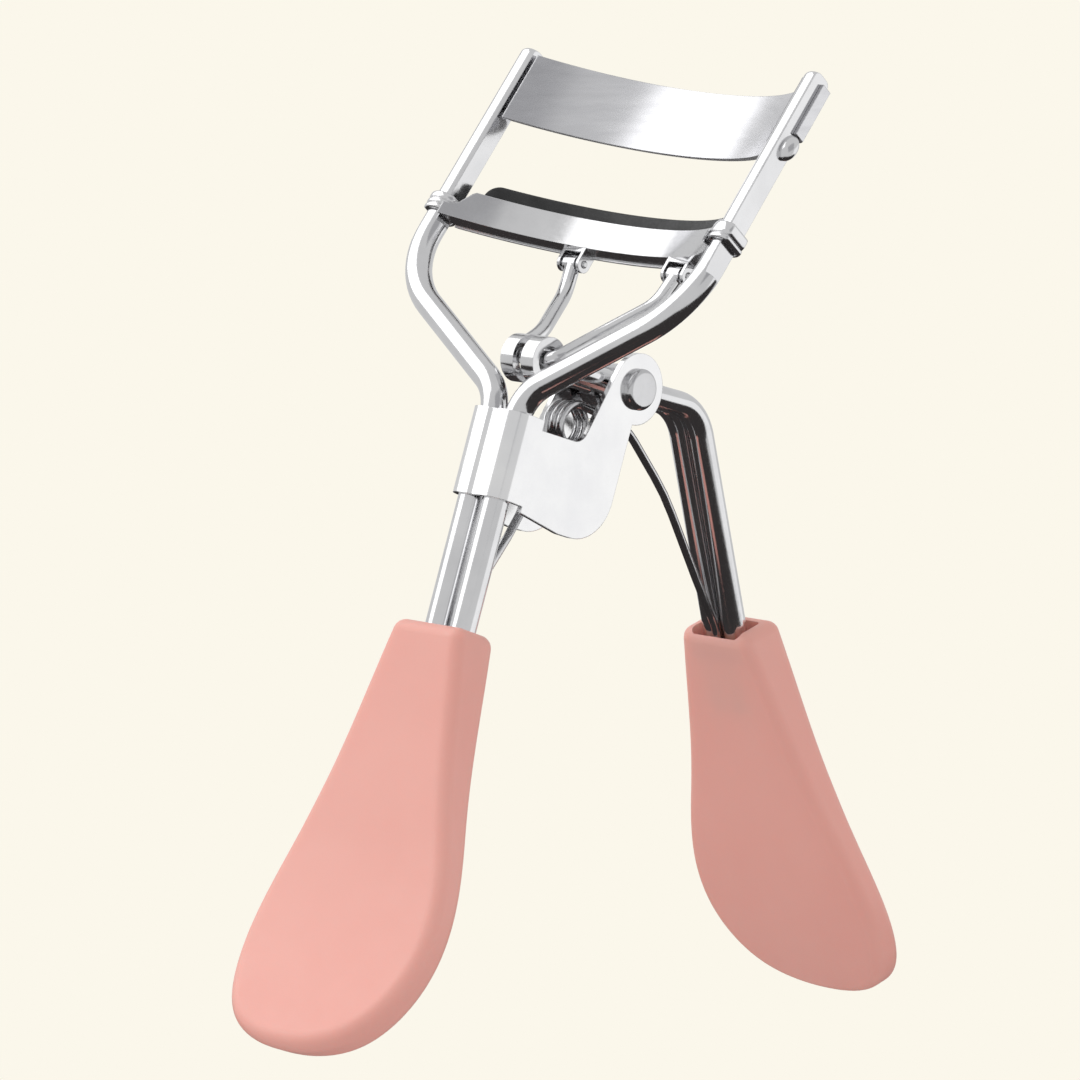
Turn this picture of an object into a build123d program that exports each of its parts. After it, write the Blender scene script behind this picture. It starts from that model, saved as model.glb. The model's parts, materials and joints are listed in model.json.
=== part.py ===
"""Eyelash curler with plastic handles, in millimetres.

Row frame: the origin is the centre of the flat grip area on the outer face of
the fixed handle. +X runs along the pivot rivet, +Y from the fixed handle
towards the lever handle, +Z up. Most shapes are drawn in two coordinates of
the tool's middle plane: b, square to the fixed rods and towards the lever, and
a, up along the fixed rods.
"""
import os
from math import cos, radians, sin, sqrt

from build123d import *

os.makedirs("parts", exist_ok=True)

# ---- driving dimensions -------------------------------------------------
ROD_LEAN = 21.2              # degrees, fixed rods away from vertical
RAIL_LEAN = 21.0             # degrees, rails away from the fixed rods
WIRE_D = 2.6                 # frame wire
ROD_X = 1.55                 # half spacing of the two fixed rods
RAIL_X = 18.25               # half spacing of the two rails
ROD_B = 3.5                  # fixed rods behind the grip face
DATUM_A = 30.8               # bracket datum above the grip centre
FLAT_OUTER, FLAT_INNER = 0.6, 0.9        # rail axis to its pressed flats

HANDLE_TOP_A = 9.0           # top of the handle above the grip centre
HANDLE_STRAIGHT = 20.0       # straight part of the handle, from its top
HANDLE_CURVE_R = 40.0        # outward curve of the lower handle
HANDLE_CURVE_LEN = 23.2
HANDLE_T_TOP = 5.65
HANDLE_T_MID = 3.85
HANDLE_T_TIP = 3.9
HANDLE_W_TOP = 4.25          # half widths down the handle
HANDLE_W_MID = 7.9
HANDLE_W_LOW = 10.8
ROD_GRIP = 8.5              # length of rod held inside a handle

LEVER_WIRE_D = 2.4
LEVER_X = 1.3                # half spacing of the two lever rods
PUSH_D = 1.5                 # push wire
PLATE_T = 0.8                # upper plate
BRACKET_T = 0.55             # bracket sheet
FIT = 0.05                   # running clearance on a radius

PLATE_LOW, PLATE_HIGH = 19.0, 26.6    # upper plate, measured up the rail
RING_AT = 7.9                # guide ring centre, measured up the rail
RAIL_END = 26.95
JAW_HALF_CHORD = 17.0
JAW_SAGITTA = 9.0            # how far the jaws bulge towards the lever

# ---- frame of reference -------------------------------------------------
S, C = sin(radians(ROD_LEAN)), cos(radians(ROD_LEAN))
UP_A = Vector(0, S, C)
OUT_B = Vector(0, C, -S)
DIR_X = Vector(1, 0, 0)
RS, RC = sin(radians(RAIL_LEAN)), cos(radians(RAIL_LEAN))
RAIL_DIR = UP_A * RC + OUT_B * RS
REAR_DIR = OUT_B * RC - UP_A * RS         # square to the rails, away from the eye


def at(x, b, a):
    """A point from its X and its middle-plane coordinates above the datum."""
    return DIR_X * x + OUT_B * (b + ROD_B) + UP_A * (a + DATUM_A)


def side_plane(x=0.0, centre=(0, 0)):
    """Plane square to X whose local axes are b and a, measured from a centre."""
    return Plane(origin=at(x, *centre), x_dir=OUT_B, z_dir=DIR_X)


VERTEX = (0.9, 11.5)         # b, a where arm and rail lines meet
EYE = (1.76, 4.95)           # b, a of the eyes at the lever's front end
PIVOT = (13.3, 5.5)          # b, a of the rivet
LUG = (11.0, 16.45)          # b, a of the lug pins under the bar
LUG_X = 6.7


def up_rail(x, along):
    """A point on a rail's axis, measured up from the bend."""
    return at(x, VERTEX[0] + along * RS, VERTEX[1] + along * RC)


def jaw_plane(along):
    """Plane of the jaw curves, square to the fixed rods."""
    return Plane(origin=up_rail(0, along), x_dir=DIR_X, z_dir=UP_A)


def rail_plane(x, along):
    """Plane square to a rail."""
    return Plane(origin=up_rail(x, along), x_dir=DIR_X, z_dir=RAIL_DIR)


JAW_R = (JAW_HALF_CHORD ** 2 + JAW_SAGITTA ** 2) / (2 * JAW_SAGITTA)
JAW_CENTRE = JAW_SAGITTA - JAW_R
written = []


def finish(part, label):
    """Label one finished piece and write its file."""
    part.label = label
    export_step(part, f"parts/{label}.step")
    written.append(part)


def arc_band(inner, outer, half_x):
    """Face of an arc-shaped strip about the jaw centre, cut at +-half_x."""
    with BuildSketch(mode=Mode.PRIVATE) as band:
        with Locations((0, JAW_CENTRE)):
            Circle(JAW_R + outer)
            Circle(JAW_R + inner, mode=Mode.SUBTRACT)
        with Locations((0, JAW_SAGITTA - 6)):
            Rectangle(2 * half_x, 22, mode=Mode.INTERSECT)
    return band.sketch


def rail_section(side, gap):
    """Section of a flattened rail, grown by a gap all round."""
    reach, outer, inner = WIRE_D / 2 + gap, FLAT_OUTER + gap, FLAT_INNER + gap
    with BuildSketch(mode=Mode.PRIVATE) as section:
        Circle(reach)
        with Locations((side * (outer - inner) / 2, 0)):
            Rectangle(outer + inner, 2 * reach, mode=Mode.INTERSECT)
    return section.sketch


# ---- frame wires: rod, arm and rail in one length of wire ----------------
ROD_BOTTOM = HANDLE_TOP_A - DATUM_A - ROD_GRIP
ARM_BEND_R, RAIL_BEND_R = 4.5, 9.0
FLAT_BOX = 2.0
FLAT_LOW_OUTER, FLAT_LOW_INNER = 3.4, 6.0    # where the flats begin, up the rail

for side, name in ((-1, "frame_wire_left"), (1, "frame_wire_right")):
    with BuildPart() as frame_wire:
        with BuildLine() as wire_path:
            FilletPolyline(
                at(side * ROD_X, 0, ROD_BOTTOM),
                at(side * ROD_X, 0, 1.1),
                at(side * RAIL_X, *VERTEX),
                up_rail(side * RAIL_X, RAIL_END),
                radius=[ARM_BEND_R, RAIL_BEND_R],
            )
        start = at(side * ROD_X, 0, ROD_BOTTOM)
        with BuildSketch(Plane(origin=start, x_dir=DIR_X, z_dir=UP_A)):
            Circle(WIRE_D / 2)
        sweep(path=wire_path.line)
        rail_tip = frame_wire.edges().filter_by(GeomType.CIRCLE).sort_by(Axis.Z)[-1]
        fillet(rail_tip, 0.6)
        # pressed flats on the inner and outer side of the rail
        for face in (-1, 1):
            low = FLAT_LOW_OUTER if face == side else FLAT_LOW_INNER
            flat = FLAT_OUTER if face == side else FLAT_INNER
            box_x = side * RAIL_X + face * (flat + FLAT_BOX / 2)
            with BuildSketch(rail_plane(box_x, low)):
                Rectangle(FLAT_BOX, 4)
            extrude(amount=RAIL_END, mode=Mode.SUBTRACT)
    finish(frame_wire.part, name)

# ---- upper plate: curved strip with a half sleeve round each rail --------
RAIL_GAP = 0.03              # plate and stops are seated on the rails
SLEEVE_T = 0.35
PLATE_RUN = PLATE_HIGH - PLATE_LOW
SLEEVE_LOW, SLEEVE_HIGH = 20.4, 26.2
SLEEVE_FROM = 0.1            # a sleeve starts just behind the middle of its rail

with BuildPart() as upper_plate:
    with BuildSketch(jaw_plane(PLATE_LOW)):
        add(arc_band(-PLATE_T / 2, PLATE_T / 2, JAW_HALF_CHORD))
    extrude(amount=PLATE_RUN, dir=RAIL_DIR)
    for side in (-1, 1):
        with BuildSketch(rail_plane(side * RAIL_X, SLEEVE_LOW)):
            add(rail_section(side, RAIL_GAP + SLEEVE_T))
            with Locations((0, SLEEVE_FROM - WIRE_D)):
                Rectangle(2 * WIRE_D, 2 * WIRE_D, mode=Mode.SUBTRACT)
        extrude(amount=SLEEVE_HIGH - SLEEVE_LOW)
    for side in (-1, 1):
        with BuildSketch(rail_plane(side * RAIL_X, PLATE_LOW - PLATE_RUN)):
            add(rail_section(side, RAIL_GAP))
        extrude(amount=3 * PLATE_RUN, mode=Mode.SUBTRACT)
finish(upper_plate.part, "upper_plate")

# ---- rail stops: small swellings on the outer rear corner of each rail ------
STOP_LOW, STOP_HIGH = 17.5, 20.2
STOP_T = 0.55
STOP_FROM = 0.15             # from the rail's axis, outwards and to the rear

for side, name in ((-1, "rail_stop_left"), (1, "rail_stop_right")):
    with BuildPart() as rail_stop:
        with BuildSketch(rail_plane(side * RAIL_X, STOP_LOW)):
            add(rail_section(side, RAIL_GAP + STOP_T))
            add(rail_section(side, RAIL_GAP), mode=Mode.SUBTRACT)
            with Locations((side * (STOP_FROM + WIRE_D), STOP_FROM + WIRE_D)):
                Rectangle(2 * WIRE_D, 2 * WIRE_D, mode=Mode.INTERSECT)
        extrude(amount=STOP_HIGH - STOP_LOW)
    finish(rail_stop.part, name)

# ---- bracket: one sheet wrapped round both rods, with two ears ------------
WRAP_HALF_X = ROD_X + WIRE_D / 2 + 0.01
EAR_R = 3.45
RIVET_R = 1.0
FLANGE_END_B = 13.7
CREASE_B = 1.7
BRACKET_LOW, BRACKET_HIGH = -12.0, 10.0

with BuildPart() as bracket:
    # cross-section square to the rods: a U that hugs them
    section_plane = Plane(origin=at(0, 0, BRACKET_LOW), x_dir=DIR_X, z_dir=UP_A)
    with BuildSketch(section_plane):
        SlotOverall(2 * (WRAP_HALF_X + BRACKET_T), WIRE_D + 2 * BRACKET_T)
        with Locations((0, 10)):
            Rectangle(2 * (WRAP_HALF_X + BRACKET_T), 20)
        SlotOverall(2 * WRAP_HALF_X, WIRE_D + 0.02, mode=Mode.SUBTRACT)
        with Locations((0, 10)):
            Rectangle(2 * WRAP_HALF_X, 20, mode=Mode.SUBTRACT)
        with Locations((0, -WIRE_D / 2 - BRACKET_T - 0.65)):
            Circle(0.9, mode=Mode.SUBTRACT)
    extrude(amount=BRACKET_HIGH - BRACKET_LOW)
    # side outline, cut through both cheeks together
    with BuildSketch(side_plane(-6), mode=Mode.PRIVATE) as outline:
        with BuildLine():
            FilletPolyline(
                (CREASE_B, -9.7),
                (7.4, -10.3),
                (FLANGE_END_B, -10.0),
                (FLANGE_END_B, 2.4),
                (PIVOT[0], PIVOT[1]),
                (9.95, 6.4),
                (7.6, -1.4),
                (CREASE_B, -1.7),
                radius=[3.0, 4.7, 0.6, 0.2, 0.6, 1.6],
            )
            Line((CREASE_B, -1.7), (CREASE_B, -9.7))
        make_face()
        with Locations((-0.3, -4.9)):
            Rectangle(4.2, 8.4)
        with Locations(PIVOT):
            Circle(EAR_R)
    extrude(outline.sketch, amount=12, mode=Mode.INTERSECT)
    with Locations(side_plane(0, PIVOT)):
        Cylinder(RIVET_R + 0.01, 20, mode=Mode.SUBTRACT)
finish(bracket.part, "bracket")

# ---- pivot rivet ------------------------------------------------------------
EAR_FACE_X = WRAP_HALF_X + BRACKET_T
HEAD_R, HEAD_T, HEAD_EDGE = 2.0, 0.8, 0.5

with BuildPart() as pivot_rivet:
    with Locations(side_plane(0, PIVOT)):
        Cylinder(RIVET_R, 2 * EAR_FACE_X)
    for face in (-1, 1):
        with Locations(side_plane(face * (EAR_FACE_X + HEAD_T / 2), PIVOT)):
            Cylinder(HEAD_R, HEAD_T)
    rims = pivot_rivet.edges().filter_by(GeomType.CIRCLE).sort_by(Axis.X)
    fillet([rims[0], rims[-1]], HEAD_EDGE)
finish(pivot_rivet.part, "pivot_rivet")

# ---- lever rods: eye, pierced boss, bend and straight rod -------------------
LEVER_ANGLE = 35.5           # lower lever rods away from the fixed rods
LEVER_BEND = (24.4, 6.45)   # b, a where upper and lower lever lines meet
LEVER_BEND_R = 5.0
LEVER_TO_HANDLE = 22.95       # from the bend down to the lever handle's top
LS, LC = sin(radians(LEVER_ANGLE)), cos(radians(LEVER_ANGLE))
EYE_R, EYE_HOLE_R, EYE_T = 2.3, 1.4, 1.6
BOSS_R, BOSS_T = 2.2, 1.9


def down_lever(along, inward=0.0):
    """b, a of a point down the lever rods, moved towards the fixed handle."""
    b = LEVER_BEND[0] + along * LS - inward * LC
    a = LEVER_BEND[1] - along * LC - inward * LS
    return (b, a)


for side, name in ((-1, "lever_rod_left"), (1, "lever_rod_right")):
    rod_x = side * LEVER_X
    with BuildPart() as lever_rod:
        with BuildLine(side_plane(rod_x)) as lever_path:
            FilletPolyline(
                (EYE[0] + 1.9, EYE[1] + 0.09),
                PIVOT,
                LEVER_BEND,
                down_lever(LEVER_TO_HANDLE + ROD_GRIP),
                radius=[8.0, LEVER_BEND_R],
            )
        start = lever_path.line @ 0
        with BuildSketch(Plane(origin=start, x_dir=DIR_X, z_dir=lever_path.line % 0)):
            Circle(LEVER_WIRE_D / 2)
        sweep(path=lever_path.line)
        for centre, radius, thick in ((EYE, EYE_R, EYE_T), (PIVOT, BOSS_R, BOSS_T)):
            with BuildSketch(side_plane(rod_x)):
                with Locations(centre):
                    Circle(radius)
            extrude(amount=thick / 2, both=True)
        for centre, radius in ((EYE, EYE_HOLE_R), (PIVOT, RIVET_R + FIT)):
            with BuildSketch(side_plane(rod_x)):
                with Locations(centre):
                    Circle(radius)
            extrude(amount=4, both=True, mode=Mode.SUBTRACT)
    finish(lever_rod.part, name)

# ---- push wires: ball head at the bar, hooked end in the lever's eye --------
WIRE_HEAD_R, WIRE_HEAD_T = 0.8, 1.5      # flattened head of a push wire
PIN_R = 0.35
HOOK = (EYE[0] - 0.28, EYE[1] + 0.16)    # hooked end, a little off the eye's centre
HOOK_X = 2.95                # outside of the eye, where the wire turns in
KNEE_X, KNEE = 5.95, (10.1, 13.2)
WRIST_X, WRIST = 3.3, (5.5, 8.3)

for side, name in ((-1, "push_wire_left"), (1, "push_wire_right")):
    with BuildPart() as push_wire:
        with BuildLine() as push_path:
            FilletPolyline(
                at(side * LUG_X, *LUG),
                at(side * KNEE_X, *KNEE),
                at(side * WRIST_X, *WRIST),
                at(side * HOOK_X, *HOOK),
                at(side * 0.3, *HOOK),
                radius=[5.0, 8.0, 1.1],
            )
        with BuildSketch(Plane(origin=push_path.line @ 0, z_dir=push_path.line % 0)):
            Circle(PUSH_D / 2)
        sweep(path=push_path.line)
        with Locations(side_plane(side * LUG_X, LUG)):
            Cylinder(WIRE_HEAD_R, WIRE_HEAD_T)
            Cylinder(PIN_R + FIT, 6, mode=Mode.SUBTRACT)
    finish(push_wire.part, name)

# ---- lower bar: curved channel that carries the pad --------------------------
BAR_AT = 7.0                 # front lower edge of the bar, up the rail
BAR_H = 3.2                  # height of its walls
BAR_W = 1.95                 # depth of the channel from front to rear
BAR_T = 0.42
BAR_FRONT = -0.9             # front face of the bar, in front of the plate's middle
JAW_REACH = 30.0             # far enough to cut through the whole curve
PAD_HALF_X, PAD_TOP = 15.8, 11.65          # PAD_TOP is measured up the rail
NECK_HALF_X, NECK_H = 17.05, 1.25
SHOULDER_X, SHOULDER_RUN = 16.4, 0.75
REAR_DROP = BAR_W * RS / RC              # rear wall starts lower, down the rail
REAR_FACE = BAR_FRONT + BAR_W * (RC + RS * RS / RC)
SKEW_T = BAR_T * (RC + RS * RS / RC)      # wall thickness in the jaw plane
RING_SLIP, RING_WALL, RING_T = 0.08, 0.4, 1.9


def jaw_outline(half_outline, half_radii):
    """Front outline of a jaw piece, from the (x, height) points of its right half."""
    front = Plane(origin=up_rail(0, BAR_AT), x_dir=DIR_X, z_dir=OUT_B * -1)
    left = [(-x, height) for x, height in half_outline]
    with BuildSketch(front, mode=Mode.PRIVATE) as outline:
        with BuildLine():
            FilletPolyline(
                *left, *reversed(half_outline),
                radius=half_radii + half_radii[::-1],
            )
            Line(left[0], half_outline[0])
        make_face()
    return outline.sketch


with BuildPart() as lower_bar:
    with BuildSketch(jaw_plane(BAR_AT)):
        add(arc_band(BAR_FRONT, BAR_FRONT + SKEW_T, NECK_HALF_X))
    extrude(amount=BAR_H, dir=RAIL_DIR)
    with BuildSketch(jaw_plane(BAR_AT - REAR_DROP)):
        add(arc_band(REAR_FACE - SKEW_T, REAR_FACE, NECK_HALF_X))
    extrude(amount=BAR_H, dir=RAIL_DIR)
    # floor of the channel: a cone-shaped strip square to the walls
    hub = up_rail(0, BAR_AT) + OUT_B * JAW_CENTRE
    with BuildSketch(Plane(origin=hub, x_dir=OUT_B, z_dir=DIR_X)):
        edge = JAW_R + BAR_FRONT
        with BuildLine():
            Polyline(
                (edge, 0),
                (edge + BAR_W * RC, -BAR_W * RS),
                (edge + BAR_W * RC + BAR_T * RS, -BAR_W * RS + BAR_T * RC),
                (edge + BAR_T * RS, BAR_T * RC),
                close=True,
            )
        make_face()
    revolve(axis=Axis(hub, UP_A), revolution_arc=60)
    mirror(about=Plane.YZ)
    bar_half = [
        (NECK_HALF_X, -BAR_H), (NECK_HALF_X, NECK_H),
        (SHOULDER_X, NECK_H + 0.05), (SHOULDER_X - SHOULDER_RUN, BAR_H),
    ]
    extrude(jaw_outline(bar_half, [0.12, 0.6, 0.9]),
            amount=JAW_REACH, both=True, mode=Mode.INTERSECT)
    for side in (-1, 1):
        with BuildSketch(rail_plane(side * RAIL_X, RING_AT - 6)):
            add(rail_section(side, RING_SLIP + RING_WALL))
        extrude(amount=12, mode=Mode.SUBTRACT)
finish(lower_bar.part, "lower_bar")

# ---- guide rings that slide on the rails --------------------------------------
for side, name in ((-1, "guide_ring_left"), (1, "guide_ring_right")):
    with BuildPart() as guide_ring:
        with BuildSketch(rail_plane(side * RAIL_X, RING_AT - RING_T / 2)):
            add(rail_section(side, RING_SLIP + RING_WALL))
            add(rail_section(side, RING_SLIP), mode=Mode.SUBTRACT)
        extrude(amount=RING_T)
    finish(guide_ring.part, name)

# ---- rubber pad ------------------------------------------------------------------
PAD_FRONT = BAR_FRONT + SKEW_T + 0.01
PAD_REAR = REAR_FACE - SKEW_T - 0.01
PAD_AT = BAR_AT + 0.45

with BuildPart() as rubber_pad:
    with BuildSketch(jaw_plane(PAD_AT)):
        add(arc_band(PAD_FRONT, PAD_REAR, PAD_HALF_X))
    extrude(amount=PAD_TOP, dir=RAIL_DIR)
    pad_half = [(PAD_HALF_X, -BAR_H), (PAD_HALF_X, (PAD_TOP - BAR_AT) * RC)]
    extrude(jaw_outline(pad_half, [1.2]),
            amount=JAW_REACH, both=True, mode=Mode.INTERSECT)
finish(rubber_pad.part, "rubber_pad")

# ---- lugs and their pins under the bar -------------------------------------------
EAR_GAP, LUG_T, LUG_R = 1.05, 0.35, 0.85
LUG_RISE = 1.45              # pin to just inside the underside of the bar
BRIDGE_AT = 0.9              # pin to the underside of the lug's bridge

for side, word in ((-1, "left"), (1, "right")):
    lug_x = side * LUG_X
    lug_plane = Plane(origin=at(lug_x, *LUG), x_dir=REAR_DIR, z_dir=DIR_X)
    with BuildPart() as wire_lug:
        with BuildSketch(lug_plane):
            Circle(LUG_R)
            with Locations((0, LUG_RISE / 2)):
                Rectangle(2 * LUG_R, LUG_RISE)
        extrude(amount=EAR_GAP + LUG_T, both=True)
        with BuildSketch(lug_plane):
            with Locations((0, BRIDGE_AT - 2 * LUG_R)):
                Rectangle(4 * LUG_R, 4 * LUG_R)
        extrude(amount=EAR_GAP, both=True, mode=Mode.SUBTRACT)
        with BuildSketch(lug_plane):
            Circle(PIN_R + 0.01)
        extrude(amount=EAR_GAP + 2 * LUG_T, both=True, mode=Mode.SUBTRACT)
        add(lower_bar.part, mode=Mode.SUBTRACT)
    finish(wire_lug.part, f"wire_lug_{word}")
    with BuildPart() as lug_pin:
        with Locations(lug_plane):
            Cylinder(PIN_R, 2 * (EAR_GAP + LUG_T) + 0.4)
        chamfer(lug_pin.edges().filter_by(GeomType.CIRCLE), 0.1)
    finish(lug_pin.part, f"lug_pin_{word}")

# ---- return spring: hairpin wire with a coil between the ears ----------------------
SPRING_D = 0.85
COIL = (8.7, 0.5)            # b, a of the coil centre
COIL_R = 1.95
COIL_PITCH = 0.8
SPRING_GRIP = 2.5            # how far each leg reaches into a handle
GROOVE_FIXED = sqrt((WIRE_D / 2 + SPRING_D / 2) ** 2 - ROD_X ** 2) + 0.03
GROOVE_LEVER = sqrt((LEVER_WIRE_D / 2 + SPRING_D / 2) ** 2 - LEVER_X ** 2) + 0.03
HANDLE_TOP = HANDLE_TOP_A - DATUM_A

with BuildPart() as return_spring:
    for turn in (-1, 0, 1):
        with Locations(side_plane(turn * COIL_PITCH, COIL)):
            Torus(COIL_R, SPRING_D / 2)
    with BuildLine() as fixed_leg:
        FilletPolyline(
            at(-COIL_PITCH, COIL[0] - COIL_R, COIL[1]),
            at(-COIL_PITCH * 0.7, COIL[0] - COIL_R + 0.4, -7.0),
            at(0, GROOVE_FIXED, HANDLE_TOP + 1.6),
            at(0, GROOVE_FIXED, HANDLE_TOP - SPRING_GRIP),
            radius=[20.0, 6.0],
        )
    with BuildSketch(Plane(origin=fixed_leg.line @ 0, z_dir=fixed_leg.line % 0)):
        Circle(SPRING_D / 2)
    sweep(path=fixed_leg.line)
    with BuildLine() as lever_leg:
        FilletPolyline(
            at(COIL_PITCH, COIL[0], COIL[1] + COIL_R),
            at(COIL_PITCH * 0.8, 15.6, COIL[1] + COIL_R - 0.15),
            at(COIL_PITCH * 0.3, 24.0, -2.3),
            at(0, *down_lever(17.0, 2.75)),
            at(0, *down_lever(LEVER_TO_HANDLE - 0.4, GROOVE_LEVER + 0.25)),
            at(0, *down_lever(LEVER_TO_HANDLE + SPRING_GRIP, GROOVE_LEVER + 0.15)),
            radius=[9.0, 25.0, 25.0, 6.0],
        )
    with BuildSketch(Plane(origin=lever_leg.line @ 0, z_dir=lever_leg.line % 0)):
        Circle(SPRING_D / 2)
    sweep(path=lever_leg.line)
finish(return_spring.part, "return_spring")

# ---- handles: two alike mouldings, curved outwards -----------------------------------
BEND_TOP = HANDLE_TOP_A - HANDLE_STRAIGHT
TIP_ANGLE = HANDLE_CURVE_LEN / HANDLE_CURVE_R
TIP_Y = BEND_TOP - HANDLE_CURVE_R * sin(TIP_ANGLE)
SLAB_ANGLE = TIP_ANGLE + 0.12           # the slab runs past the tip and is trimmed
SLAB_OUT = -HANDLE_CURVE_R * (1 - cos(SLAB_ANGLE))
SLAB_END = BEND_TOP - HANDLE_CURVE_R * sin(SLAB_ANGLE)
INNER_X = SLAB_OUT + HANDLE_T_TIP * cos(SLAB_ANGLE)
INNER_Y = SLAB_END - HANDLE_T_TIP * sin(SLAB_ANGLE)
TAPER = (HANDLE_T_TOP - HANDLE_T_MID) / HANDLE_STRAIGHT
TIP_LENGTH = 8.0            # rounded end of the front outline
EDGE_R = 1.25
SOCKET_W, SOCKET_T, SOCKET_DEEP = 6.2, 3.7, 3.0
SOCKET_OFFSET = -0.1        # socket centre from the rods, towards the grip face


def make_handle(face, rod_radius, rod_x):
    """Handle whose grip face is the local plane x = 0, with local y up."""
    front = Plane(origin=face.origin, x_dir=DIR_X, z_dir=face.x_dir)
    up = front.y_dir.dot(face.y_dir)
    with BuildPart() as handle:
        with BuildSketch(face):
            with BuildLine():
                Polyline((0, BEND_TOP), (0, HANDLE_TOP_A), (HANDLE_T_TOP, HANDLE_TOP_A))
                Line((HANDLE_T_TOP, HANDLE_TOP_A), (HANDLE_T_MID, BEND_TOP))
                Spline(
                    (HANDLE_T_MID, BEND_TOP),
                    (INNER_X, INNER_Y),
                    tangents=[(-TAPER, -1), (-sin(SLAB_ANGLE), -cos(SLAB_ANGLE))],
                )
                Line((INNER_X, INNER_Y), (SLAB_OUT, SLAB_END))
                RadiusArc((0, BEND_TOP), (SLAB_OUT, SLAB_END), HANDLE_CURVE_R)
            make_face()
        extrude(amount=14, both=True)
        with BuildSketch(front, mode=Mode.PRIVATE) as outline:
            with BuildLine():
                right = Spline(
                    (HANDLE_W_TOP, HANDLE_TOP_A * up),
                    (HANDLE_W_MID, (HANDLE_TOP_A - 16) * up),
                    (HANDLE_W_LOW, (TIP_Y + TIP_LENGTH) * up),
                    (HANDLE_W_LOW * 0.72, (TIP_Y + TIP_LENGTH * 0.3) * up),
                    (0, TIP_Y * up),
                    tangents=[(0.24, -up), (-1, 0)],
                )
                mirror(right, about=Plane.YZ)
                Line((-HANDLE_W_TOP, HANDLE_TOP_A * up), (HANDLE_W_TOP, HANDLE_TOP_A * up))
            make_face()
        extrude(outline.sketch, amount=30, both=True, mode=Mode.INTERSECT)
        fillet(handle.edges(), EDGE_R)
        mouth = Plane(
            origin=face.from_local_coords((ROD_B, HANDLE_TOP_A, 0)),
            x_dir=DIR_X, z_dir=face.y_dir,
        )
        inward = mouth.y_dir.dot(face.x_dir)
        with BuildSketch(mouth):
            with Locations((0, SOCKET_OFFSET * inward)):
                RectangleRounded(SOCKET_W, SOCKET_T, 0.6)
        extrude(amount=-SOCKET_DEEP, mode=Mode.SUBTRACT)
        with BuildSketch(mouth):
            with Locations((-rod_x, 0), (rod_x, 0)):
                Circle(rod_radius)
        extrude(amount=-ROD_GRIP, mode=Mode.SUBTRACT)
    return handle.part


grip_face = Plane(origin=(0, 0, 0), x_dir=OUT_B, z_dir=DIR_X)
fixed_handle = make_handle(grip_face, WIRE_D / 2, ROD_X)
finish(fixed_handle, "fixed_handle")

lever_up = UP_A * LC - OUT_B * LS
lever_in = OUT_B * -LC - UP_A * LS
lever_top = at(0, *down_lever(LEVER_TO_HANDLE))
lever_face = Plane(
    origin=lever_top - lever_up * HANDLE_TOP_A - lever_in * ROD_B,
    x_dir=lever_in, z_dir=DIR_X * -1,
)
lever_handle = make_handle(lever_face, LEVER_WIRE_D / 2, LEVER_X)
finish(lever_handle, "lever_handle")

for part in written:
    size = part.bounding_box().size
    print(f"{part.label:20s} {part.volume:9.2f} mm3   {size.X:6.1f} {size.Y:6.1f} {size.Z:6.1f}")
pivot_point = at(0, *PIVOT)
print("pivot", pivot_point, "eye", at(0, *EYE), "lug", at(0, *LUG))
print("rail direction", RAIL_DIR)
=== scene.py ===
"""Looks of an eyelash curler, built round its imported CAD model, in metres."""

import json
import math

import bmesh
import bpy
from mathutils import Matrix, Vector


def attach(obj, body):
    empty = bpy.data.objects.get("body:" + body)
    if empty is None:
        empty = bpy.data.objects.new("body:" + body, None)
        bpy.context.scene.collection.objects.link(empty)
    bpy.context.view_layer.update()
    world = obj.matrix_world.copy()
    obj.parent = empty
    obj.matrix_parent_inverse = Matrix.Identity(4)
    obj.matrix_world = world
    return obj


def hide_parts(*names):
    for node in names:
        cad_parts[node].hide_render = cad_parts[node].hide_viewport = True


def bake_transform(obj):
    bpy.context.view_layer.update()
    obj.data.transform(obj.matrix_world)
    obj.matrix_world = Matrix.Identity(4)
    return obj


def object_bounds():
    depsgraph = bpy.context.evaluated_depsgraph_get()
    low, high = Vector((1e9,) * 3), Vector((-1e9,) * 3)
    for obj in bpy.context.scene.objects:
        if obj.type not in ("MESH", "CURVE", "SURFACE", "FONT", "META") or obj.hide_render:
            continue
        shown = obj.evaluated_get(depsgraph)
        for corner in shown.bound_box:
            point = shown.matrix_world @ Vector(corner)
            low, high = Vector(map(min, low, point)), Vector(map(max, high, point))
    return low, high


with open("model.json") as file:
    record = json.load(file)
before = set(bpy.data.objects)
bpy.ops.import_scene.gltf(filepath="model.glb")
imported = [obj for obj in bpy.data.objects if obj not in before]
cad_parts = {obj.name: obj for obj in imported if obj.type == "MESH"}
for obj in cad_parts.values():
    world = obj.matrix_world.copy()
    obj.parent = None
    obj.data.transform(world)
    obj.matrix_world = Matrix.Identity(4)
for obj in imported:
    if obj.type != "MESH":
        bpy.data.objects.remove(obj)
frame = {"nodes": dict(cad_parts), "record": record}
cad_low, cad_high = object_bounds()

MM = 0.001
SOFT_EDGE = 0.12 * MM        # worn radius of pressed and cut metal edges

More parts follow.
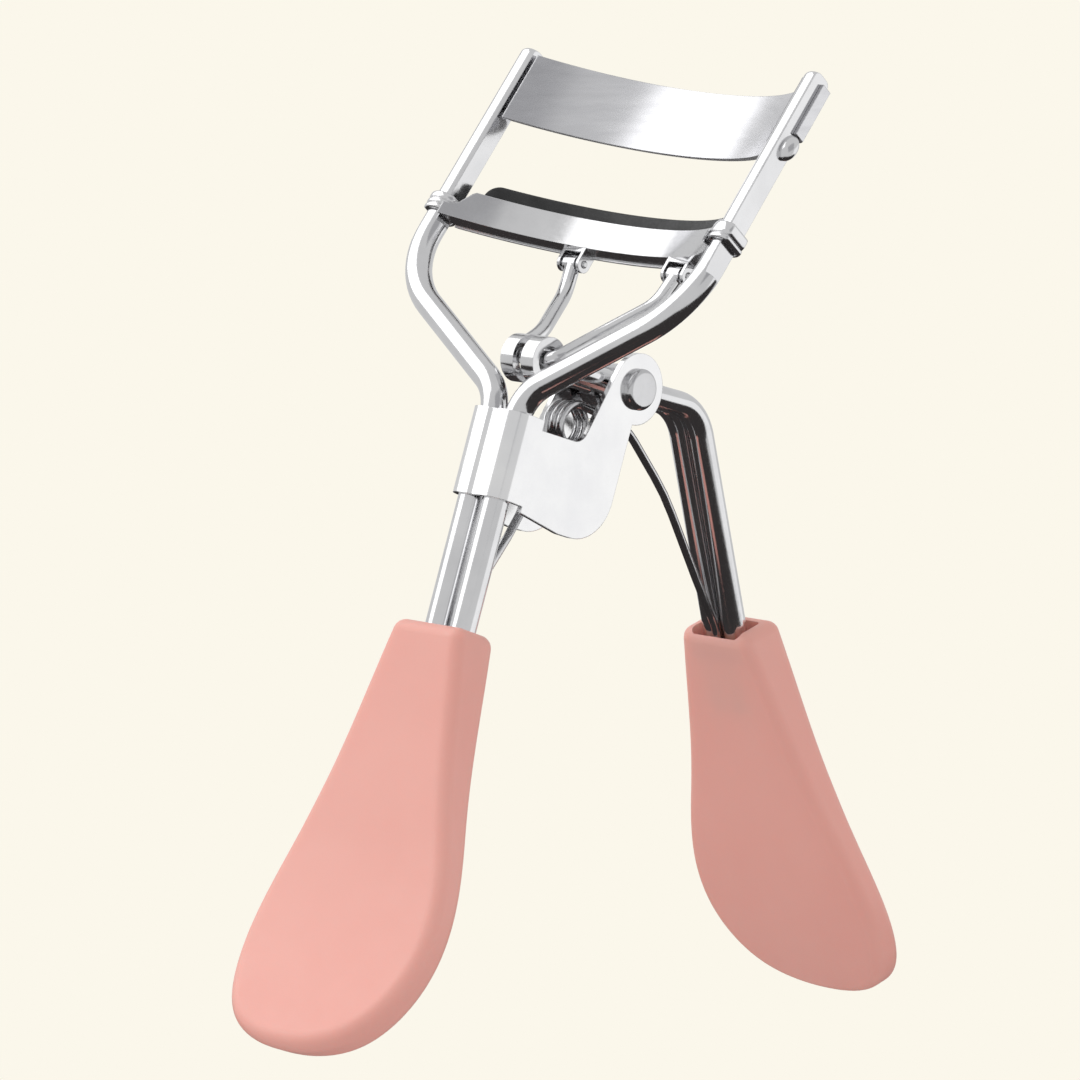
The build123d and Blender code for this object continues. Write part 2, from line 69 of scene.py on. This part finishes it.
# ---- the tool's own directions and places, in millimetres -------------------
ROD_LEAN = math.radians(21.2)            # fixed rods, from vertical
RAIL_LEAN = math.radians(21.0)           # rails, from the fixed rods
LEVER_LEAN = math.radians(35.5)          # lever rods, from the fixed rods
OUT_B = Vector((0, math.cos(ROD_LEAN), -math.sin(ROD_LEAN)))
UP_A = Vector((0, math.sin(ROD_LEAN), math.cos(ROD_LEAN)))
RAIL_DIR = UP_A * math.cos(RAIL_LEAN) + OUT_B * math.sin(RAIL_LEAN)
DIR_X = Vector((1, 0, 0))
ROD_B, DATUM_A = 3.5, 30.8               # where b and a start, from the grip face
RAIL_X = 18.25
RAIL_FOOT = (0.9, 11.5)                  # b, a where the rails begin
JAW_CHORD, JAW_SAGITTA = 17.0, 9.0       # half chord and depth of the jaw curves
JAW_R = (JAW_CHORD ** 2 + JAW_SAGITTA ** 2) / (2 * JAW_SAGITTA)


def at(x, b, a):
    """A point in metres: x across, b away from the fixed rods, a up along them."""
    return MM * (DIR_X * x + OUT_B * (b + ROD_B) + UP_A * (a + DATUM_A))


def up_rail(x, along):
    return at(x, *RAIL_FOOT) + MM * along * RAIL_DIR


# ---- mesh helpers ------------------------------------------------------------
def loft(name, rings, material, closed=False):
    """Skin a list of equal rings of points; the ends are filled, or joined if closed."""
    mesh = bpy.data.meshes.new(name)
    bm = bmesh.new()
    rows = [[bm.verts.new(point) for point in ring] for ring in rings]
    pairs = list(zip(rows, rows[1:])) + ([(rows[-1], rows[0])] if closed else [])
    for low, high in pairs:
        for i in range(len(low)):
            j = (i + 1) % len(low)
            bm.faces.new((low[i], low[j], high[j], high[i]))
    if not closed:
        bm.faces.new(rows[0][::-1])
        bm.faces.new(rows[-1])
    bmesh.ops.recalc_face_normals(bm, faces=bm.faces)
    bm.to_mesh(mesh)
    bm.free()
    mesh.materials.append(material)
    for face in mesh.polygons:
        face.use_smooth = len(face.vertices) == 4
    thing = bpy.data.objects.new(name, mesh)
    bpy.context.collection.objects.link(thing)
    return thing


def rounded_path(points, radii, step=6):
    """A polyline whose inner corners are turned into arcs of the given radii."""
    path = [points[0]]
    for before, corner, after, radius in zip(points, points[1:], points[2:], radii):
        into, out = (before - corner).normalized(), (after - corner).normalized()
        half = into.angle(out) / 2
        reach = radius / math.tan(half)
        centre = corner + (into + out).normalized() * (radius / math.sin(half))
        first, last = corner + into * reach - centre, corner + out * reach - centre
        turn = first.angle(last)
        axis = first.cross(last)
        count = max(2, int(math.degrees(turn) / step))
        path += [centre + Matrix.Rotation(turn * i / count, 3, axis) @ first for i in range(count + 1)]
    return path + [points[-1]]


def tube(name, path, radius, material, sides=16, round_ends=4):
    """A wire of round section along a path, with domed ends."""
    tangents = [(b - a).normalized() for a, b in zip(path, path[1:])]
    tangents = [tangents[0]] + [(a + b).normalized() for a, b in zip(tangents, tangents[1:])] + [tangents[-1]]
    side = tangents[0].orthogonal().normalized()
    stations = []
    for point, tangent in zip(path, tangents):
        side = (side - tangent * side.dot(tangent)).normalized()
        stations.append((point, side, tangent.cross(side), tangent))
    rings = []

    def ring(station, size, ahead):
        point, u, v, along = station
        rings.append([point + along * ahead + size * (u * math.cos(t) + v * math.sin(t))
                      for t in (2 * math.pi * i / sides for i in range(sides))])

    dome = [math.pi / 2 * (i + 1) / (round_ends + 1) for i in range(round_ends)]
    for lift in dome:
        ring(stations[0], radius * math.sin(lift), -radius * math.cos(lift))
    for station in stations:
        ring(station, radius, 0.0)
    for lift in reversed(dome):
        ring(stations[-1], radius * math.sin(lift), radius * math.cos(lift))
    return loft(name, rings, material)


COLLAR_ROUND = 0.5           # how much rounder a collar's outside is than the flattened wire


def collar(name, profile, centre, axis, wire, material, count=64):
    """Carry a closed (radius, height) profile, in millimetres, round a wire with two flats.

    The profile starts at its smallest radius. The wire is given as its radius, then the distances
    from its axis to the left and right flats.
    """
    radius, left_flat, right_flat = wire
    u = (DIR_X - axis * DIR_X.dot(axis)).normalized()
    v = axis.cross(u)
    rings = []
    for i in range(count):
        t = 2 * math.pi * i / count
        ring = []
        for r, h in profile:
            gap = r - radius
            swell = gap + COLLAR_ROUND * (r - profile[0][0])
            across = min(max(r * math.cos(t), -left_flat - swell), right_flat + swell)
            ring.append(centre + MM * (across * u + r * math.sin(t) * v + h * axis))
        rings.append(ring)
    return loft(name, rings, material, closed=True)


# ---- materials -----------------------------------------------------------
class Nodes:
    """A short way to build one material's node tree."""

    def __init__(self, name):
        self.material = bpy.data.materials.new(name)
        self.material.use_nodes = True
        self.tree = self.material.node_tree
        self.shader = self.tree.nodes["Principled BSDF"]
        self.coords = self.tree.nodes.new("ShaderNodeTexCoord").outputs["Object"]

    def set(self, **values):
        for key, value in values.items():
            self.shader.inputs[key.replace("_", " ")].default_value = value

    def link(self, output, socket):
        self.tree.links.new(output, socket)

    def noise(self, scale, detail=3.0, stretch=(1, 1, 1), roughness=0.55):
        mapping = self.tree.nodes.new("ShaderNodeMapping")
        mapping.inputs["Scale"].default_value = stretch
        noise = self.tree.nodes.new("ShaderNodeTexNoise")
        noise.inputs["Scale"].default_value = scale
        noise.inputs["Detail"].default_value = detail
        noise.inputs["Roughness"].default_value = roughness
        self.link(self.coords, mapping.inputs["Vector"])
        self.link(mapping.outputs["Vector"], noise.inputs["Vector"])
        return noise.outputs["Fac"]

    def spread(self, value, low, high, start=0.3, stop=0.7):
        """Map a factor to a range of values."""
        node = self.tree.nodes.new("ShaderNodeMapRange")
        for key, number in (("From Min", start), ("From Max", stop), ("To Min", low), ("To Max", high)):
            node.inputs[key].default_value = number
        self.link(value, node.inputs["Value"])
        return node.outputs["Result"]

    def ramp(self, value, *stops):
        node = self.tree.nodes.new("ShaderNodeValToRGB")
        elements = node.color_ramp.elements
        while len(elements) < len(stops):
            elements.new(0.5)
        for element, (place, colour) in zip(elements, stops):
            element.position = place
            element.color = (*colour, 1)
        self.link(value, node.inputs["Fac"])
        return node.outputs["Color"]

    def bump(self, height, strength, distance, edge=0.0):
        """Relief from a height factor, over edges softened by the given radius."""
        node = self.tree.nodes.new("ShaderNodeBump")
        node.inputs["Strength"].default_value = strength
        node.inputs["Distance"].default_value = distance
        self.link(height, node.inputs["Height"])
        if edge:
            bevel = self.tree.nodes.new("ShaderNodeBevel")
            bevel.samples = 4
            bevel.inputs["Radius"].default_value = edge
            self.link(bevel.outputs["Normal"], node.inputs["Normal"])
        self.link(node.outputs["Normal"], self.shader.inputs["Normal"])


def chrome(name, low, high, rough=(0.10, 0.15), stretch=(1, 1, 1)):
    """Polished plating with a slight haze and fine polishing marks; noise scales are per metre."""
    made = Nodes(name)
    made.set(Metallic=1.0)
    haze = made.noise(180, 4, stretch)
    marks = made.noise(2600, 2, stretch)
    made.link(made.ramp(haze, (0.35, low), (0.65, high)), made.shader.inputs["Base Color"])
    made.link(made.spread(marks, *rough), made.shader.inputs["Roughness"])
    made.bump(haze, 0.05, 0.00005, edge=SOFT_EDGE)
    return made.material


def plastic(name):
    """Satin moulded plastic: soft pink with faint flow clouds and a fine grain."""
    made = Nodes(name)
    clouds = made.noise(38, 3, (1, 1, 0.6))
    grain = made.noise(3200, 2)
    made.link(made.ramp(clouds, (0.3, (0.920, 0.422, 0.355)), (0.7, (0.945, 0.470, 0.400))),
              made.shader.inputs["Base Color"])
    made.link(made.spread(made.noise(420, 4), 0.40, 0.52), made.shader.inputs["Roughness"])
    made.set(Subsurface_Weight=0.15, Subsurface_Scale=0.004, Subsurface_Radius=(1.0, 0.4, 0.3),
             Coat_Weight=0.06, Coat_Roughness=0.35)
    made.bump(grain, 0.12, 0.00004)
    return made.material


def rubber(name):
    """Dark silicone rubber with a fine matte tooth and a little dust in it."""
    made = Nodes(name)
    tooth = made.noise(5200, 3)
    made.link(made.ramp(made.noise(600, 4), (0.35, (0.012, 0.012, 0.012)), (0.7, (0.030, 0.030, 0.031))),
              made.shader.inputs["Base Color"])
    made.link(made.spread(tooth, 0.42, 0.6), made.shader.inputs["Roughness"])
    made.bump(tooth, 0.25, 0.00005)
    return made.material


CHROME = chrome("polished_chrome", (0.72, 0.72, 0.73), (0.80, 0.80, 0.81))
PLATE = chrome("plate_chrome", (0.66, 0.66, 0.68), (0.74, 0.74, 0.76), (0.24, 0.30), (1, 1, 6))
BRACKET = chrome("bracket_chrome", (0.84, 0.84, 0.85), (0.9, 0.9, 0.9), (0.12, 0.16))
JAW = chrome("jaw_chrome", (0.70, 0.70, 0.71), (0.78, 0.78, 0.79), (0.15, 0.20))
STEEL = chrome("pin_steel", (0.60, 0.60, 0.61), (0.68, 0.68, 0.69), (0.10, 0.2))
PINK = plastic("pink_plastic")
RUBBER = rubber("dark_rubber")

SLOT_MATERIALS = {
    "frame_chrome": CHROME,
    "plate_chrome": PLATE,
    "bracket_chrome": BRACKET,
    "jaw_chrome": JAW,
    "pin_steel": STEEL,
    "spring_steel": STEEL,
    "pad_rubber": RUBBER,
    "pink_plastic": PINK,
}
node_slots = {part["node"]: part["material_slot"] for part in frame["record"]["subparts"]}
for node, thing in frame["nodes"].items():
    thing.data.materials.clear()
    thing.data.materials.append(SLOT_MATERIALS[node_slots[node]])

# ---- rubber pad: a moulded strip with a rounded crown and rounded ends ----------
BAR_AT = 7.0                 # lower edge of the bar, up the rail
PAD_HALF_X, PAD_TOP = 15.8, 11.65
PAD_IN, PAD_OUT = -0.44, 0.72            # faces of the pad, from the jaw curve
PAD_FOOT = 0.5
PAD_END_R = 1.3
PAD_CROWN = 0.34             # rounding of its upper edges
PAD_END_SHARE = 0.72         # thickness at the very ends, as a share of the full thickness
PAD_STATIONS = 96


def pad_ring(turn, height, swell):
    """Section of the pad at an angle round the jaw curve, as a loop of points."""
    middle, half = (PAD_IN + PAD_OUT) / 2, (PAD_OUT - PAD_IN) / 2 * swell
    crown = min(PAD_CROWN, half * 0.95)
    outline = [(middle - half, PAD_FOOT)]
    steps = 6
    left, right = middle - half + crown, middle + half - crown
    for corner, start in ((left, math.pi), (right, math.pi / 2)):
        for i in range(steps + 1):
            t = start - math.pi / 2 * i / steps
            outline.append((corner + crown * math.cos(t), height - crown + crown * math.sin(t)))
    outline.append((middle + half, PAD_FOOT))
    points = []
    for radial, up in outline:
        r = JAW_R + radial
        across, away = r * math.sin(turn), r * math.cos(turn) - JAW_R + JAW_SAGITTA
        points.append(up_rail(0, BAR_AT) + MM * (DIR_X * across + OUT_B * away + RAIL_DIR * up))
    return points


def make_pad():
    half_turn = math.asin(PAD_HALF_X / JAW_R)
    full = PAD_TOP - BAR_AT
    rings = []
    for i in range(PAD_STATIONS + 1):
        lean = math.sin(math.pi / 2 * (2 * i / PAD_STATIONS - 1))
        turn = half_turn * lean
        inset = min(1.0, (half_turn - abs(turn)) * JAW_R / PAD_END_R)
        curve = math.sqrt(1 - (1 - inset) ** 2)
        swell = PAD_END_SHARE + (1 - PAD_END_SHARE) * curve
        rings.append(pad_ring(turn, full - PAD_END_R * (1 - curve), swell))
    pad = loft("rubber_pad_moulded", rings, RUBBER)
    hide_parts("rubber_pad")
    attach(pad, "lower_jaw")


make_pad()

# ---- guide rings: sheet strips rolled round the rails in ridges --------------------
RING_AT, RING_T = 7.9, 1.9
RING_IN, RING_VALLEY, RING_CREST = 1.38, 1.56, 1.78
RING_CHAMFER, RING_CHAMFER_H = 0.08, 0.1
RIDGE_SHARE, RIDGE_POWER, RIDGE_STEPS = 0.98, 0.6, 8      # how square and how close the ridges are
RAIL_R, RAIL_FLAT_OUTER, RAIL_FLAT_INNER = 1.3, 0.6, 0.9


def make_ring(side, word, bands):
    """A ring whose height is shared out among the given ridges, from the bottom up."""
    profile = [(RING_IN, -RING_T / 2 + RING_CHAMFER_H), (RING_IN + RING_CHAMFER, -RING_T / 2)]
    low = -RING_T / 2
    for share in bands:
        high = low + RING_T * share
        for i in range(RIDGE_STEPS + 1):
            t = math.pi * i / RIDGE_STEPS
            bulge = RING_VALLEY + (RING_CREST - RING_VALLEY) * math.sin(t) ** RIDGE_POWER
            profile.append((bulge, (low + high) / 2 - (high - low) / 2 * RIDGE_SHARE * math.cos(t)))
        low = high
    profile += [(RING_IN + RING_CHAMFER, RING_T / 2), (RING_IN, RING_T / 2 - RING_CHAMFER_H)]
    flats = (RAIL_FLAT_OUTER, RAIL_FLAT_INNER) if side < 0 else (RAIL_FLAT_INNER, RAIL_FLAT_OUTER)
    ring = collar(f"guide_ring_{word}_rolled", profile, up_rail(side * RAIL_X, RING_AT), RAIL_DIR,
                  (RAIL_R, *flats), CHROME)
    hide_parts(f"guide_ring_{word}")
    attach(ring, "lower_jaw")


make_ring(-1, "left", (0.3, 0.3, 0.4))
make_ring(1, "right", (0.3, 0.7))

# ---- rail stops: rounded swellings swaged out of the rails' outer rear corners ------
STOP_AT = 18.85              # middle of the swelling, up the rail
STOP_OUT = 0.75              # from the rail's axis
STOP_REARWARD = 0.5          # share of its direction that is rearward
STOP_HALF = (1.0, 0.75, 1.4)             # outwards, round the rail, along it


def make_stop(side, word):
    rear = RAIL_DIR.cross(DIR_X)
    outward = (side * DIR_X + STOP_REARWARD * rear).normalized()
    around = RAIL_DIR.cross(outward)
    centre = up_rail(side * RAIL_X, STOP_AT) + MM * STOP_OUT * outward
    out, wide, high = STOP_HALF
    rings = []
    stations, sides = 18, 32
    for i in range(1, stations):
        t = math.pi * i / stations
        rings.append([
            centre + MM * (math.sin(t) * (out * math.cos(u) * outward + wide * math.sin(u) * around)
                           - high * math.cos(t) * RAIL_DIR)
            for u in (2 * math.pi * k / sides for k in range(sides))
        ])
    stop = loft(f"rail_stop_{word}_swaged", rings, CHROME)
    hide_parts(f"rail_stop_{word}")
    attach(stop, "frame")


make_stop(-1, "left")
make_stop(1, "right")

# ---- return spring: one wire, from handle to handle by way of its coil --------------
SPRING_R = 0.425
COIL, COIL_R = (8.7, 0.5), 1.95          # b, a of the coil's centre, and its radius
COIL_TURNS, COIL_HALF_X = 2.25, 0.98
FIXED_TOP = -21.8            # a of the fixed handle's mouth
FIXED_GROOVE = 0.79          # b of the leg where it enters that handle
LEVER_GROOVE = 1.25          # and its distance from the lever rods where it enters the other
SPRING_GRIP = 2.4            # length of wire inside a handle
LEVER_KNEE = (24.4, 6.45)    # b, a of the lever rods' bend
LEVER_MOUTH = 22.95          # from the bend to the lever handle's mouth


def down_lever(x, along, inward):
    """A point beside the lever rods, towards the fixed handle."""
    c, s = math.cos(LEVER_LEAN), math.sin(LEVER_LEAN)
    return at(x, LEVER_KNEE[0] + along * s - inward * c, LEVER_KNEE[1] - along * c - inward * s)


def make_spring():
    b, a = COIL
    fixed_leg = rounded_path([
        at(0, FIXED_GROOVE, FIXED_TOP - SPRING_GRIP),
        at(0, FIXED_GROOVE, FIXED_TOP + 1.6),
        at(-COIL_HALF_X * 0.7, b - COIL_R + 0.4, -7.0),
        at(-COIL_HALF_X, b - COIL_R, a - 0.2),
    ], [6.0 * MM, 20.0 * MM])
    coil = []
    steps = 90
    for i in range(steps + 1):
        t = math.pi - 2 * math.pi * COIL_TURNS * i / steps
        x = COIL_HALF_X * (2 * i / steps - 1)
        coil.append(at(x, b + COIL_R * math.cos(t), a + COIL_R * math.sin(t)))
    lever_leg = rounded_path([
        at(COIL_HALF_X, b + 0.2, a + COIL_R),
        at(COIL_HALF_X * 0.8, 15.6, a + COIL_R - 0.15),
        at(COIL_HALF_X * 0.3, 24.0, -2.3),
        down_lever(0, 17.0, 2.75),
        down_lever(0, LEVER_MOUTH - 0.4, LEVER_GROOVE),
        down_lever(0, LEVER_MOUTH + SPRING_GRIP, LEVER_GROOVE - 0.1),
    ], [9.0 * MM, 25.0 * MM, 25.0 * MM, 6.0 * MM])
    spring = tube("return_spring_wound", fixed_leg + coil + lever_leg, SPRING_R * MM, STEEL)
    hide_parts("return_spring")
    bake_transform(spring)


make_spring()

# ---- floor, light and camera ----------------------------------------------
FLOOR_HALF = 4.0
FLOOR_Z = cad_low.z - 0.018  # clear of the lever handle's tip when the tool is closed


def flat_stage(name, size, matrix, material):
    """A plain rectangle that belongs to the studio, not to the object."""
    mesh = bpy.data.meshes.new(name)
    half_x, half_y = size[0] / 2, size[1] / 2
    corners = [(-half_x, -half_y, 0), (half_x, -half_y, 0), (half_x, half_y, 0), (-half_x, half_y, 0)]
    mesh.from_pydata(corners, [], [(0, 1, 2, 3)])
    thing = bpy.data.objects.new(name, mesh)
    thing.matrix_world = matrix
    mesh.materials.append(material)
    bpy.context.collection.objects.link(thing)
    return thing


def glow(name, colour, strength):
    material = bpy.data.materials.new(name)
    material.use_nodes = True
    nodes = material.node_tree.nodes
    nodes.remove(nodes["Principled BSDF"])
    emission = nodes.new("ShaderNodeEmission")
    emission.inputs["Color"].default_value = (*colour, 1)
    emission.inputs["Strength"].default_value = strength
    material.node_tree.links.new(emission.outputs[0], nodes["Material Output"].inputs["Surface"])
    return material


CREAM = (0.965, 0.930, 0.831)
TABLE_GREY = (0.04, 0.036, 0.036)
CARD_GREY = (0.42, 0.42, 0.43)
TABLE_SIZE, TABLE_DROP = 0.42, 0.003     # side of the dark table, and its depth below the floor
ROOM_LIGHT = 0.68
floor = flat_stage("floor", (2 * FLOOR_HALF, 2 * FLOOR_HALF),
                   Matrix.Translation((0, 0, FLOOR_Z)), glow("floor_cream", CREAM, 1.0))
floor.visible_diffuse = False
floor.visible_glossy = False

world = bpy.data.worlds.new("studio")
world.use_nodes = True
world.node_tree.nodes["Background"].inputs["Color"].default_value = (1, 1, 1, 1)
world.node_tree.nodes["Background"].inputs["Strength"].default_value = ROOM_LIGHT
bpy.context.scene.world = world
bpy.context.scene.view_settings.view_transform = "Standard"

VIEW_AZIMUTH = math.radians(43.15)
VIEW_HEIGHT = math.radians(9.38)
VIEW_DISTANCE = 0.5993
VIEW_TARGET = Vector((0.00364, 0.01489, 0.01498))
VIEW_LENS = 213.2
VIEW_BACK = Vector((
    math.sin(VIEW_AZIMUTH) * math.cos(VIEW_HEIGHT),
    -math.cos(VIEW_AZIMUTH) * math.cos(VIEW_HEIGHT),
    math.sin(VIEW_HEIGHT),
))

camera_data = bpy.data.cameras.new("camera")
camera_data.lens = VIEW_LENS
camera_data.sensor_width = 36
camera_data.clip_start = 0.01
camera_data.clip_end = 20
camera = bpy.data.objects.new("camera", camera_data)
camera.location = VIEW_TARGET + VIEW_BACK * VIEW_DISTANCE
camera.rotation_mode = "QUATERNION"
camera.rotation_quaternion = (-VIEW_BACK).to_track_quat("-Z", "Y")
bpy.context.collection.objects.link(camera)
bpy.context.scene.camera = camera


def toward(azimuth, height, distance=0.7):
    """A place round the object; azimuth 0 is in front, 90 to the right."""
    a, e = math.radians(azimuth), math.radians(height)
    return VIEW_TARGET + distance * Vector((
        math.sin(a) * math.cos(e), -math.cos(a) * math.cos(e), math.sin(e)))


def softbox(name, azimuth, height, size, power, distance=0.7):
    """A rectangular light that faces the object."""
    data = bpy.data.lights.new(name, "AREA")
    data.shape = "RECTANGLE"
    data.size, data.size_y = size
    data.energy = power
    light = bpy.data.objects.new(name, data)
    light.location = toward(azimuth, height, distance)
    light.rotation_mode = "QUATERNION"
    light.rotation_quaternion = (VIEW_TARGET - light.location).to_track_quat("-Z", "Y")
    bpy.context.collection.objects.link(light)


def flag(name, azimuth, height, size, distance=0.6):
    """A grey card that only reflections see."""
    place = toward(azimuth, height, distance)
    turn = (VIEW_TARGET - place).to_track_quat("-Z", "Y").to_matrix().to_4x4()
    card = flat_stage(name, size, Matrix.Translation(place) @ turn, glow(name, CARD_GREY, 1.0))
    card.visible_camera = False
    card.visible_diffuse = False
    card.visible_shadow = False


# A dark table top that only reflections see.
table = flat_stage("dark_table", (TABLE_SIZE, TABLE_SIZE), Matrix.Translation((0, 0, FLOOR_Z - TABLE_DROP)),
                   glow("table_grey", TABLE_GREY, 1.0))
table.visible_diffuse = False
table.visible_camera = False
table.visible_shadow = False

# Azimuth and height in degrees, size in metres, power in watts.
softbox("sky_left", -60, 45, (0.9, 0.8), 2.5)
softbox("side_right", 137, -4, (0.7, 0.45), 0.35)
flag("grey_card", 80, 38, (0.45, 0.4))
